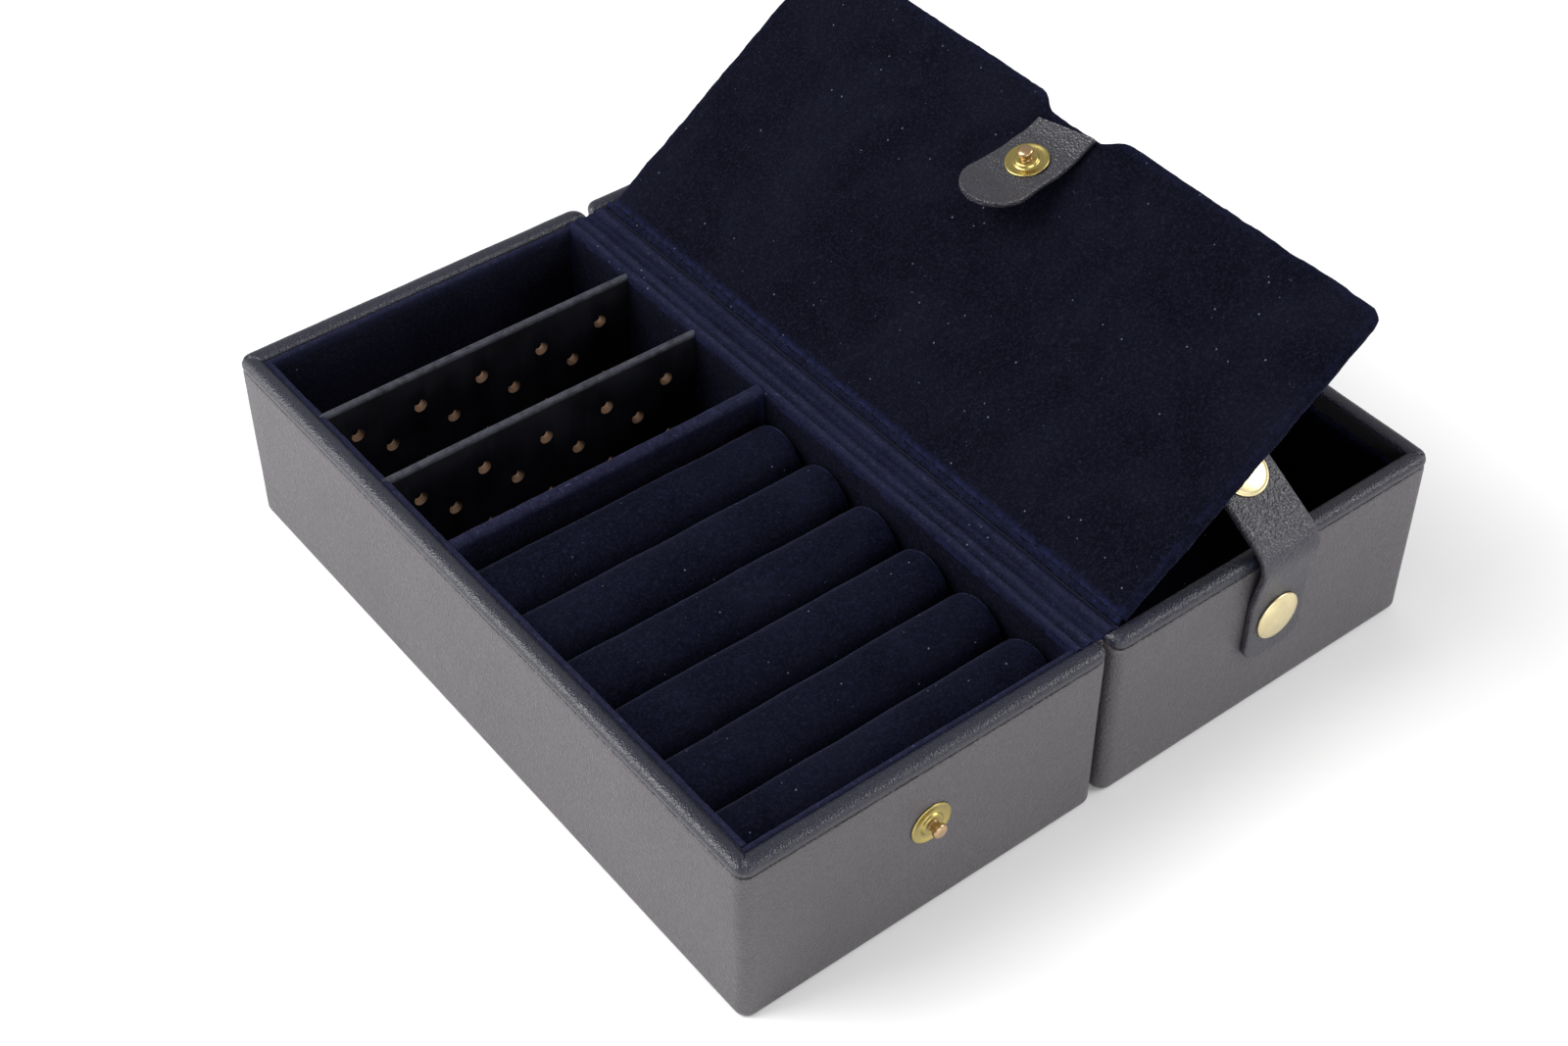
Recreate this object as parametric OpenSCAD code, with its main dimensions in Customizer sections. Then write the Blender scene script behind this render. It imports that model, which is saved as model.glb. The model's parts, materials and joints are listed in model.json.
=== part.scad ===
// Travel jewelry box: two leather-covered trays that fold together like a book, a ring tray and a
// deep well tray, with a velvet flap over the well and snap straps. Shown lying open. Millimetres.

/* [Trays] */
// Length of each tray along the spine
tray_l = 160; // [140:1:200]
// Width of each tray, from its outer wall to the spine
tray_w = 79; // [72:1:95]
// Height of each tray
tray_h = 39; // [37:1:48]
// Gap between the trays at the spine when the box is open
spine_gap = 1.6; // [1.2:0.2:2.4]
// Radius of the upright leather corners
corner_r = 2.5; // [1.5:0.5:4]

/* [Wall layers] */
// Thickness of the leather covering
skin_t = 1; // [0.8:0.1:1.2]
// Thickness of the stiff boards
board_t = 2.6; // [2:0.1:3]
// Thickness of the velvet-covered lining cards
lining_t = 1.4; // [1:0.1:1.6]
// Height of the leather rim band on the outer walls
rim_band = 2.4; // [2:0.1:3]
// Height of the seam groove under the rim band
rim_seam = 0.4; // [0.2:0.1:0.6]

/* [Flap] */
// Angle at which the flap stands open over the well
flap_angle = 35; // [25:1:60]
// Thickness of the flap with both velvets
flap_t = 3; // [2.4:0.1:3.2]
// Length of the flap from its crease to its free edge
flap_len = 69.4; // [64:0.2:69.4]
// Depth of the finger notch in the free edge
notch_depth = 2.7; // [2:0.1:3.5]
// Width of the finger notch
notch_w = 24; // [18:1:30]

/* [Ring rolls and earring panels] */
// Top of the ring rolls below the rim
roll_drop = 4.5; // [4.5:0.1:7]
// Distance from the near wall's outer face to the divider
divider_y = 90.2; // [86:0.2:96]
// Diameter of the earring holes
hole_d = 2.8; // [2.2:0.1:4]

/* [Straps and press studs] */
// Width of the closing strap
strap_w = 14.4; // [12:0.1:16]
// Thickness of the strap leather
strap_t = 1.5; // [1.2:0.1:1.8]
// Angle by which the strap's tongue leans in over the well
strap_lean = 60; // [40:1:70]
// Diameter of a press-stud cap
cap_d = 10; // [9:0.1:11]
// Width of the flap's leather tab
tab_w = 14.4; // [12:0.1:15]
// Angle at which the tab's tongue stands off the flap
tab_angle = 20; // [12:1:20]

/* [Hidden] */

LEATHER = [0.2, 0.2, 0.25];
VELVET = [0.07, 0.08, 0.22];
BOARD = [0.62, 0.58, 0.5];
CARD = [0.08, 0.08, 0.1];
BRASS = [0.85, 0.75, 0.42];
TAPE = [0.12, 0.12, 0.2];

fine = 48;                              // segments of a true circle
wall = skin_t + board_t;                // leather and board together
lined = wall + lining_t;                // leather, board and lining together
rim_t = 0.9;                            // leather thickness on top of the rim
board_top = tray_h - rim_t;
skin_top = tray_h - rim_band - rim_seam;
web_t = 1.1;                            // velvet web lying on the spine walls
spine_top = tray_h - web_t - 0.1;       // spine walls stop below the web
ring_lining_top = tray_h - 0.75;         // clear of the crease when the trays are folded
ledge_top = tray_h - flap_t - 0.6;      // well lining stops under the closed flap
cap_h = 1.2;
stud_h = 3;                             // ball stud above its leather
stud_ball_r = 1.5;
stud_post_r = 1.1;
shank_r = 1.5;
washer_r = 3.5;
washer_t = 0.6;

// Ring tray contents
divider_t = 2.8;
panel_t = 1.4;
panel_front_y = 112.3;
panel_back_y = 134.8;
slot_depth = 1;
panel_slots = [panel_front_y, panel_back_y];
roll_pitch = (divider_y - lined) / 6;
roll_r = roll_pitch / 2 - 0.05;
roll_base_t = 2;
hole_pitch = 14;
hole_first = 10.9;                      // first hole from the tray's outer face
hole_rows = [8, 14.2, 22.2];            // below the panel's top, every other row is staggered
hole_counts = [5, 4, 5];

// Closing strap: riveted low on the wall, knee above the rivet, crease at the rim
strap_x = tray_w / 2;
strap_rivet_z = 22.8;
strap_tail = 8.8;
knee_z = 28;
strap_stand = 2.05;                     // gap between the wall and the strap at the rim
y_shift = (strap_stand + strap_t) / 2;  // centres the box and its strap on the origin
wall_stud_z = 22.6;
tongue_reach = tray_h - wall_stud_z;    // crease to the cap
tongue_end = 9;                         // cap to the strap's round end
knee_tilt = atan(strap_stand / (tray_h - knee_z));

// Inner strap, hanging in the well behind the flap
inner_w = 12;
inner_t = 1.2;
inner_reach = 20;
inner_y = tray_l / 2 - 1;
inner_x = 7;                            // hinge from the tray's outer face
inner_z = tray_h - 3;

// Flap and tab, in the flap's own plane: x from the crease, z up from its velvet face
crease_x = 4.6;
crease_r = 0.65;
tape_x = 4.8;
tape_t = 0.4;
flap_half = tray_l / 2 - wall - 0.4;
flap_start = 0.8;
flap_corner = 3.5;
velvet_t = 0.6;
notch_y = -1;
tab_t = 1.2;
tab_top_s = 66.3;
tab_hinge_s = 60;
tab_tip_s = 41.5;
tab_stud_s = 54.6;
tab_lift = 0.8;                         // tongue leather above the velvet, for the rivet's back

// A tray's corner frame: x from the outer wall to the spine, y from the near wall
module ring_side() {
    translate([-spine_gap / 2 - tray_w, y_shift - tray_l / 2, 0]) children();
}

module well_side() {
    mirror([1, 0, 0]) ring_side() children();
}

// The flap's plane at its rest angle
module flap_plane() {
    translate([crease_x, y_shift, tray_h]) rotate([0, -flap_angle, 0]) children();
}

// The tab tongue's plane, hinged on the flap
module tab_plane() {
    flap_plane() translate([tab_hinge_s, notch_y, tab_lift]) rotate([0, tab_angle, 0]) children();
}

// The tongue's plane beyond the crease: x across, z along the leather, its outer face towards -y
module tongue_plane() {
    well_side() translate([strap_x, -strap_stand, tray_h]) rotate([-strap_lean, 0, 0]) children();
}

module block(x0, x1, y0, y1, z0, z1) {
    translate([x0, y0, z0]) cube([x1 - x0, y1 - y0, z1 - z0]);
}

module disc(r, h) {
    cylinder(r = r, h = h, $fn = fine);
}

// Rounded rectangle from (0,0)
module rounded_plate(w, l, h, r) {
    linear_extrude(height = h) union() {
        translate([r, 0]) square([w - 2 * r, l]);
        translate([0, r]) square([w, l - 2 * r]);
        for (x = [r, w - r], y = [r, l - r]) translate([x, y]) circle(r = r, $fn = fine);
    }
}

module tray_skin(stud_z) {
    difference() {
        union() {
            rounded_plate(tray_w, tray_l, skin_top, corner_r);
            block(tray_w - skin_t, tray_w, wall, tray_l - wall, skin_top - 1, spine_top);
        }
        block(skin_t, tray_w - skin_t, skin_t, tray_l - skin_t, skin_t, tray_h + 1);
        translate([tray_w / 2, -1, stud_z]) rotate([-90, 0, 0]) disc(shank_r, skin_t + 2);
    }
}

module tray_rim() {
    difference() {
        translate([0, 0, tray_h - rim_band]) rounded_plate(tray_w, tray_l, rim_band, corner_r);
        block(skin_t, tray_w - skin_t, skin_t, tray_l - skin_t, tray_h - rim_band - 1, board_top);
        block(wall, tray_w + 1, wall, tray_l - wall, tray_h - rim_band - 1, tray_h + 1);
    }
}

module board_outer() block(skin_t, wall, wall, tray_l - wall, skin_t, board_top);
module board_spine() block(tray_w - wall, tray_w - skin_t, wall, tray_l - wall, skin_t, spine_top);
module board_far() block(skin_t, tray_w - skin_t, tray_l - wall, tray_l - skin_t, skin_t, board_top);
module board_floor() block(wall, tray_w - wall, wall, tray_l - wall, skin_t, wall);

module board_near(stud_z) {
    difference() {
        block(skin_t, tray_w - skin_t, skin_t, wall, skin_t, board_top);
        translate([tray_w / 2, 0, stud_z]) rotate([-90, 0, 0]) disc(shank_r, wall + 1);
        translate([tray_w / 2, wall - washer_t, stud_z]) rotate([-90, 0, 0]) disc(washer_r, 1);
    }
}

module lining_long(x0, top, slots) {
    difference() {
        block(x0, x0 + lining_t, lined, tray_l - lined, wall, top);
        for (y = slots) {
            block(x0 < tray_w / 2 ? x0 + lining_t - slot_depth : x0 - 1,
                x0 < tray_w / 2 ? x0 + lining_t + 1 : x0 + slot_depth,
                y, y + panel_t, lined, top + 1);
        }
    }
}

module lining_near(top) block(wall, tray_w - wall, wall, lined, wall, top);
module lining_far(top) block(wall, tray_w - wall, tray_l - lined, tray_l - wall, wall, top);
module lining_floor() block(lined, tray_w - lined, lined, tray_l - lined, wall, lined);

module earring_panel(y) {
    difference() {
        block(lined - slot_depth, tray_w - lined + slot_depth, y, y + panel_t, lined, ring_lining_top);
        for (row = [0 : len(hole_rows) - 1], i = [0 : hole_counts[row] - 1]) {
            translate([hole_first + (i + (row % 2) / 2) * hole_pitch, y - 1, ring_lining_top - hole_rows[row]])
                rotate([-90, 0, 0]) disc(hole_d / 2, panel_t + 2);
        }
    }
}

// One foam roll: a half-round top on a straight-sided foot
module ring_roll(i) {
    y = divider_y - (i - 0.5) * roll_pitch;
    z = tray_h - roll_drop - roll_r;
    x0 = lined + 0.2;
    len = tray_w - 2 * lined - 1.4;
    color(VELVET) ring_side() union() {
        translate([x0, y, z]) rotate([0, 90, 0]) disc(roll_r, len);
        block(x0, x0 + len, y - roll_r, y + roll_r, lined + roll_base_t, z);
    }
}

// A press-stud's male half: flange, post and ball along +z
module ball_stud() {
    disc(cap_d / 2 - 0.7, 0.4);
    disc(2.3, 0.9);
    disc(stud_post_r, stud_h - stud_ball_r);
    translate([0, 0, stud_h - stud_ball_r]) sphere(r = stud_ball_r, $fn = fine);
}

// A press-stud's domed cap along +z: a rim and a shallow dome, turned
module domed_cap() {
    r = cap_d / 2;
    rim_h = 0.5;
    dome = [for (a = [0 : 10 : 90]) [r * cos(a), rim_h + (cap_h - rim_h) * sin(a)]];
    rotate_extrude($fn = fine) polygon(concat([[0, 0], [r, 0]], dome));
}

// A press-stud's female half: a ring on the leather's inner face and a barrel through it
module socket(leather, ring_h) {
    difference() {
        union() {
            translate([0, 0, -ring_h]) disc(cap_d / 2 - 0.6, ring_h);
            disc(2.2, leather);
        }
        translate([0, 0, -ring_h - 1]) disc(stud_ball_r + 0.25, ring_h + leather);
    }
}

// A strap tongue in its plane: from z = 0 up, with a round end and a hole for the socket
module tongue(w, t, reach, end, start) {
    difference() {
        union() {
            block(-w / 2, w / 2, -t, 0, start, reach + end - w / 2);
            translate([0, 0, reach + end - w / 2]) rotate([90, 0, 0]) disc(w / 2, t);
        }
        translate([0, 1, reach]) rotate([90, 0, 0]) disc(2.2, t + 2);
    }
}

// Flap outline in its plane, with round free corners and a smooth notch; inset shrinks it
function notch_s(y) = abs(y) >= notch_w / 2 ? 0
    : abs(y) < notch_w / 4 ? notch_depth
    : notch_depth * (1 + cos(180 * (abs(y) - notch_w / 4) / (notch_w / 4))) / 2;

module flap_outline(inset) {
    e = flap_len - inset;
    h = flap_half - inset;
    c = flap_corner;
    arc = [for (a = [0 : 15 : 90]) [e - c + c * sin(a), -h + c - c * cos(a)]];
    edge = [for (y = [-notch_w / 2 : 1 : notch_w / 2]) [e - notch_s(y), y + notch_y]];
    top = [for (a = [90 : -15 : 0]) [e - c + c * sin(a), h - c + c * cos(a)]];
    polygon(concat([[flap_start + inset, -h]], arc, edge, top, [[flap_start + inset, h]]));
}

module flap_layer(z0, t, inset) {
    flap_plane() translate([0, 0, z0]) linear_extrude(height = t) flap_outline(inset);
}

// Ring tray
module ring_tray_skin() color(LEATHER) ring_side() tray_skin(wall_stud_z);
module ring_tray_rim() color(LEATHER) ring_side() tray_rim();
module ring_tray_board_outer() color(BOARD) ring_side() board_outer();
module ring_tray_board_spine() color(BOARD) ring_side() board_spine();
module ring_tray_board_near() color(BOARD) ring_side() board_near(wall_stud_z);
module ring_tray_board_far() color(BOARD) ring_side() board_far();
module ring_tray_board_floor() color(BOARD) ring_side() board_floor();
module ring_tray_lining_outer() color(VELVET) ring_side() lining_long(wall, ring_lining_top, panel_slots);
module ring_tray_lining_spine() {
    color(VELVET) ring_side() lining_long(tray_w - lined, ring_lining_top, panel_slots);
}
module ring_tray_lining_near() color(VELVET) ring_side() lining_near(ring_lining_top);
module ring_tray_lining_far() color(VELVET) ring_side() lining_far(ring_lining_top);
module ring_tray_lining_floor() color(VELVET) ring_side() lining_floor();

module divider() {
    color(VELVET) ring_side()
        block(lined, tray_w - lined, divider_y, divider_y + divider_t, lined, ring_lining_top);
}
module earring_panel_back() color(CARD) ring_side() earring_panel(panel_back_y);
module earring_panel_front() color(CARD) ring_side() earring_panel(panel_front_y);
module ring_roll_base() {
    color(BOARD) ring_side()
        block(lined + 0.2, tray_w - lined - 0.2, lined, divider_y - 0.2, lined, lined + roll_base_t);
}

module wall_stud() {
    color(BRASS) ring_side() translate([tray_w / 2, 0, wall_stud_z]) rotate([90, 0, 0]) union() {
        ball_stud();
        translate([0, 0, washer_t - wall]) disc(shank_r, wall - washer_t);
    }
}
module wall_stud_rivet() {
    color(BRASS) ring_side() translate([tray_w / 2, wall - washer_t, wall_stud_z])
        rotate([-90, 0, 0]) disc(washer_r, washer_t);
}

// Spine: leather hinge leaves in the gap and the velvet web over the spine walls
module spine_leather() {
    block(tray_w, tray_w + spine_gap / 2 - 0.1, wall, tray_l - wall, tray_h - 10, spine_top);
}
module spine_leather_left() color(LEATHER) ring_side() spine_leather();
module spine_leather_right() color(LEATHER) well_side() spine_leather();
module spine_velvet() {
    block(tray_w + spine_gap / 2 - 3.9, tray_w + spine_gap / 2 - 0.1, wall, tray_l - wall, spine_top, tray_h - 0.1);
}
module spine_velvet_left() color(VELVET) ring_side() spine_velvet();
module spine_velvet_right() color(VELVET) well_side() spine_velvet();

// Well tray
module well_tray_skin() color(LEATHER) well_side() tray_skin(strap_rivet_z);
module well_tray_rim() color(LEATHER) well_side() tray_rim();
module well_tray_board_outer() color(BOARD) well_side() board_outer();
module well_tray_board_spine() color(BOARD) well_side() board_spine();
module well_tray_board_near() color(BOARD) well_side() board_near(strap_rivet_z);
module well_tray_board_far() color(BOARD) well_side() board_far();
module well_tray_board_floor() color(BOARD) well_side() board_floor();
module well_tray_lining_outer() color(VELVET) well_side() lining_long(wall, ledge_top, []);
module well_tray_lining_spine() color(VELVET) well_side() lining_long(tray_w - lined, ledge_top, []);
module well_tray_lining_near() color(VELVET) well_side() lining_near(ledge_top);
module well_tray_lining_far() color(VELVET) well_side() lining_far(ledge_top);
module well_tray_lining_floor() color(VELVET) well_side() lining_floor();

// Closing strap
module strap_base() {
    tail_z = strap_rivet_z - strap_tail;
    top = knee_z - 0.15;
    color(LEATHER) well_side() difference() {
        intersection() {
            block(strap_x - strap_w / 2, strap_x + strap_w / 2, -strap_t, 0, tail_z, top);
            translate([strap_x - strap_w / 2, 1, tail_z]) rotate([90, 0, 0])
                rounded_plate(strap_w, 2 * tray_h, 8, 4);
        }
        translate([strap_x, 1, strap_rivet_z]) rotate([90, 0, 0]) disc(shank_r, strap_t + 2);
    }
}
module strap_riser() {
    z0 = knee_z + 0.35;
    z1 = tray_h - 0.3;
    lean0 = (z0 - knee_z) * tan(knee_tilt);
    lean1 = (z1 - knee_z) * tan(knee_tilt);
    side = [[lean0, z0], [lean1, z1], [lean1 + strap_t, z1], [lean0 + strap_t, z0]];
    color(LEATHER) well_side() translate([strap_x + strap_w / 2, 0, 0]) rotate([90, 0, -90])
        linear_extrude(height = strap_w) polygon(side);
}
module strap_rivet_cap() {
    color(BRASS) well_side() translate([strap_x, -strap_t, strap_rivet_z]) rotate([90, 0, 0]) union() {
        domed_cap();
        translate([0, 0, washer_t - wall - strap_t]) disc(shank_r, wall + strap_t - washer_t);
    }
}
module strap_rivet_washer() {
    color(BRASS) well_side() translate([strap_x, wall - washer_t, strap_rivet_z])
        rotate([-90, 0, 0]) disc(washer_r, washer_t);
}
module strap_tongue() {
    color(LEATHER) tongue_plane() tongue(strap_w, strap_t, tongue_reach, tongue_end, 0.9);
}
module snap_cap() {
    color(BRASS) tongue_plane()
        translate([0, -strap_t, tongue_reach]) rotate([90, 0, 0]) domed_cap();
}
module snap_socket() {
    color(BRASS) tongue_plane()
        translate([0, 0, tongue_reach]) rotate([90, 0, 0]) socket(strap_t, strap_stand - 0.45);
}

// Inner strap that buttons the flap down, hanging in the well
module inner_strap_root() {
    color(LEATHER) well_side() block(wall + 0.1, inner_x - 0.6, inner_y - inner_w / 2,
        inner_y + inner_w / 2, ledge_top + 0.1, ledge_top + 0.1 + inner_t);
}
module inner_plane() {
    well_side() translate([inner_x, inner_y, inner_z]) rotate([180, 0, -90]) children();
}
module inner_strap() color(LEATHER) inner_plane() tongue(inner_w, inner_t, inner_reach, 7, 0.5);
module inner_snap_cap() {
    color(BRASS) inner_plane() translate([0, -inner_t, inner_reach]) rotate([90, 0, 0]) domed_cap();
}
module inner_snap_socket() {
    color(BRASS) inner_plane() translate([0, 0, inner_reach]) rotate([90, 0, 0]) socket(inner_t, 1.6);
}

// Flap over the well, hinged at its crease on a tape that stands on the ledge behind the spine wall
module flap_hinge_tape() {
    color(TAPE) block(tape_x - tape_t / 2, tape_x + tape_t / 2, y_shift - flap_half, y_shift + flap_half,
        ledge_top + 0.3, tray_h - crease_r - 0.1);
}
module flap_hinge_velvet() {
    color(TAPE) translate([crease_x, y_shift - flap_half, tray_h]) rotate([-90, 0, 0])
        disc(crease_r, 2 * flap_half);
}
module flap_board() color(BOARD) flap_layer(velvet_t - flap_t, flap_t - 2 * velvet_t, 0.6);
module flap_velvet_front() color(VELVET) flap_layer(-velvet_t, velvet_t, 0);
module flap_velvet_back() color(VELVET) flap_layer(-flap_t, velvet_t, 0);

// Leather tab on the flap
module tab_root() {
    color(LEATHER) flap_plane() block(tab_hinge_s + 0.4, tab_top_s,
        notch_y - tab_w / 2, notch_y + tab_w / 2, 0, tab_lift + tab_t);
}
module tab_tongue() {
    reach = tab_hinge_s - tab_tip_s;
    r = tab_w / 2;
    color(LEATHER) tab_plane() difference() {
        union() {
            block(r - reach, -0.3, -r, r, 0, tab_t);
            translate([r - reach, 0, 0]) disc(r, tab_t);
        }
        translate([tab_stud_s - tab_hinge_s, 0, -1]) disc(shank_r, tab_t + 2);
    }
}
module tab_stud() {
    color(BRASS) tab_plane() translate([tab_stud_s - tab_hinge_s, 0, tab_t]) union() {
        ball_stud();
        translate([0, 0, -tab_t]) disc(shank_r, tab_t);
    }
}
module tab_stud_rivet() {
    color(BRASS) tab_plane() translate([tab_stud_s - tab_hinge_s, 0, -washer_t]) disc(washer_r, washer_t);
}

ring_tray_skin();
ring_tray_rim();
ring_tray_board_outer();
ring_tray_board_spine();
ring_tray_board_near();
ring_tray_board_far();
ring_tray_board_floor();
ring_tray_lining_outer();
ring_tray_lining_spine();
ring_tray_lining_near();
ring_tray_lining_far();
ring_tray_lining_floor();
divider();
earring_panel_back();
earring_panel_front();
ring_roll_base();
ring_roll(1);  // ring_roll_1
ring_roll(2);  // ring_roll_2
ring_roll(3);  // ring_roll_3
ring_roll(4);  // ring_roll_4
ring_roll(5);  // ring_roll_5
ring_roll(6);  // ring_roll_6
wall_stud();
wall_stud_rivet();
spine_leather_left();
spine_velvet_left();
well_tray_skin();
well_tray_rim();
well_tray_board_outer();
well_tray_board_spine();
well_tray_board_near();
well_tray_board_far();
well_tray_board_floor();
well_tray_lining_outer();
well_tray_lining_spine();
well_tray_lining_near();
well_tray_lining_far();
well_tray_lining_floor();
spine_leather_right();
spine_velvet_right();
strap_base();
strap_rivet_cap();
strap_rivet_washer();
strap_riser();
strap_tongue();
snap_cap();
snap_socket();
inner_strap_root();
inner_strap();
inner_snap_cap();
inner_snap_socket();
flap_hinge_tape();
flap_hinge_velvet();
flap_board();
flap_velvet_front();
flap_velvet_back();
tab_root();
tab_tongue();
tab_stud();
tab_stud_rivet();
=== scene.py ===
import json
from math import cos, exp, hypot, pi, radians, sin, sqrt

import bmesh
import bpy
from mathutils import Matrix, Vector, noise


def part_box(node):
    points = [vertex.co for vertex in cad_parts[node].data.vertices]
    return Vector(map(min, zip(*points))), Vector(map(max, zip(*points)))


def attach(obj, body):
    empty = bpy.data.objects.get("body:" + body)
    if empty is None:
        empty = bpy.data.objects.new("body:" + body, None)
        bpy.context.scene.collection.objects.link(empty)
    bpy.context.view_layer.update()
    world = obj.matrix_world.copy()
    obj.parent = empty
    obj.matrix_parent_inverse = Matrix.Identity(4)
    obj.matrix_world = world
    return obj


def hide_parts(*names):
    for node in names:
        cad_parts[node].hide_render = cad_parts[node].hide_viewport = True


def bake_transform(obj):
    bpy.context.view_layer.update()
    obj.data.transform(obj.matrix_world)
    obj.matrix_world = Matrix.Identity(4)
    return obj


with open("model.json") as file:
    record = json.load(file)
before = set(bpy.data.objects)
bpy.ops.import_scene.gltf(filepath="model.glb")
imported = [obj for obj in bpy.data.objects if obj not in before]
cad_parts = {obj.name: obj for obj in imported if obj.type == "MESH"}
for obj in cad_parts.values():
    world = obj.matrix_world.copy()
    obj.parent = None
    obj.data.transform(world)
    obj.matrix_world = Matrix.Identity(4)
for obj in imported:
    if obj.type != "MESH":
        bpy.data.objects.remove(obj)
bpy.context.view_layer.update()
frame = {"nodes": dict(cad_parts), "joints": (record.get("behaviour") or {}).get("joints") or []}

# Shapes below are worked out in millimetres and turned into metres when a mesh is made.
MM = 0.001

# noise_vector takes its offsets from this seed, and from the clock without it.
noise.seed_set(7)


def size_of(node):
    """A CAD node's lowest and highest corners, in millimetres."""
    low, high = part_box(node)
    return Vector(low) / MM, Vector(high) / MM


RING_LOW, RING_HIGH = size_of("ring_tray_skin")
WELL_LOW, WELL_HIGH = size_of("well_tray_skin")
TRAY_W = RING_HIGH.x - RING_LOW.x
TRAY_L = RING_HIGH.y - RING_LOW.y
NEAR = RING_LOW.y
FAR = RING_HIGH.y
RIM_LOW = size_of("ring_tray_rim")[0].z
RIM_TOP = size_of("ring_tray_rim")[1].z
SPINE_TOP = RING_HIGH.z
RIM_SEAM = 0.4
SKIN_TOP = RIM_LOW - RIM_SEAM
SKIN_T = 1.0
WALL = 3.6
CORNER_R = 2.5
STRAP_T = 1.5
TONGUE_L = 25.4
SNAP_AT = 16.4
FLAP_ANGLE = radians(35)
TAB_ANGLE = radians(20)
STRAP_LEAN = radians(60)
CREASE = Vector((4.6, (NEAR + FAR) / 2, RIM_TOP))


# ---- materials -------------------------------------------------------------------------------

class Shader:
    """A node material under construction, with its patterns in the object's own coordinates."""

    def __init__(self, name):
        self.material = bpy.data.materials.new(name)
        self.material.use_nodes = True
        self.tree = self.material.node_tree
        self.surface = self.tree.nodes["Principled BSDF"]
        self.place = self.node("ShaderNodeTexCoord").outputs["Object"]

    def node(self, kind, **settings):
        made = self.tree.nodes.new(kind)
        for name, value in settings.items():
            setattr(made, name, value)
        return made

    def feed(self, socket, value):
        """Links a pattern to a socket, or sets the socket to a plain value."""
        if isinstance(value, bpy.types.NodeSocket):
            self.tree.links.new(value, socket)
        elif isinstance(value, (tuple, list)) and len(value) == 3 and socket.type == "RGBA":
            socket.default_value = (*value, 1)
        else:
            socket.default_value = value

    def stretched(self, scale, turn=(0, 0, 0)):
        made = self.node("ShaderNodeMapping")
        self.feed(made.inputs["Vector"], self.place)
        made.inputs["Scale"].default_value = scale
        made.inputs["Rotation"].default_value = turn
        return made.outputs["Vector"]

    def noise(self, scale, detail=2.0, rough=0.5, place=None, warp=0.0):
        made = self.node("ShaderNodeTexNoise")
        self.feed(made.inputs["Vector"], place or self.place)
        made.inputs["Scale"].default_value = scale
        made.inputs["Detail"].default_value = detail
        made.inputs["Roughness"].default_value = rough
        made.inputs["Distortion"].default_value = warp
        return made.outputs["Fac"]

    def cells(self, scale, feature="F1", place=None):
        made = self.node("ShaderNodeTexVoronoi", feature=feature)
        self.feed(made.inputs["Vector"], place or self.place)
        made.inputs["Scale"].default_value = scale
        return made.outputs["Distance"]

    def between(self, value, low, high, to_low=0.0, to_high=1.0):
        """value stretched so that low to high becomes to_low to to_high, and held there."""
        made = self.node("ShaderNodeMapRange")
        self.feed(made.inputs["Value"], value)
        for name, number in (("From Min", low), ("From Max", high), ("To Min", to_low), ("To Max", to_high)):
            made.inputs[name].default_value = number
        return made.outputs["Result"]

    def math(self, operation, a, b=0.0):
        made = self.node("ShaderNodeMath", operation=operation)
        self.feed(made.inputs[0], a)
        self.feed(made.inputs[1], b)
        return made.outputs[0]

    def mix(self, share, a, b):
        made = self.node("ShaderNodeMix", data_type="RGBA")
        self.feed(made.inputs["Factor"], share)
        self.feed(made.inputs[6], a)
        self.feed(made.inputs[7], b)
        return made.outputs[2]

    def bump(self, height, strength, distance, under=None):
        made = self.node("ShaderNodeBump")
        made.inputs["Strength"].default_value = strength
        made.inputs["Distance"].default_value = distance
        self.feed(made.inputs["Height"], height)
        if under:
            self.feed(made.inputs["Normal"], under)
        return made.outputs["Normal"]

    def set(self, **values):
        for name, value in values.items():
            self.feed(self.surface.inputs[name.replace("_", " ")], value)
        return self.material


def lint(s, amount):
    """Specks of dust and short stray fibres caught in the pile: 1 on them, 0 between."""
    specks = s.between(s.cells(300), 0.062, 0.035)
    thin = s.between(s.noise(45, 1.0), 0.62 - amount, 0.66 - amount)
    made = s.math("MULTIPLY", specks, thin)
    for turn, stretch in ((0.5, (1, 0.09, 1)), (2.1, (0.08, 1, 1)), (1.3, (1, 1, 0.1))):
        fibres = s.between(s.cells(420, place=s.stretched(stretch, (turn, turn / 2, turn))), 0.032, 0.018)
        few = s.between(s.noise(60 + 20 * turn, 1.0), 0.66 - amount, 0.7 - amount)
        made = s.math("MAXIMUM", made, s.math("MULTIPLY", fibres, few))
    return made


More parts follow.
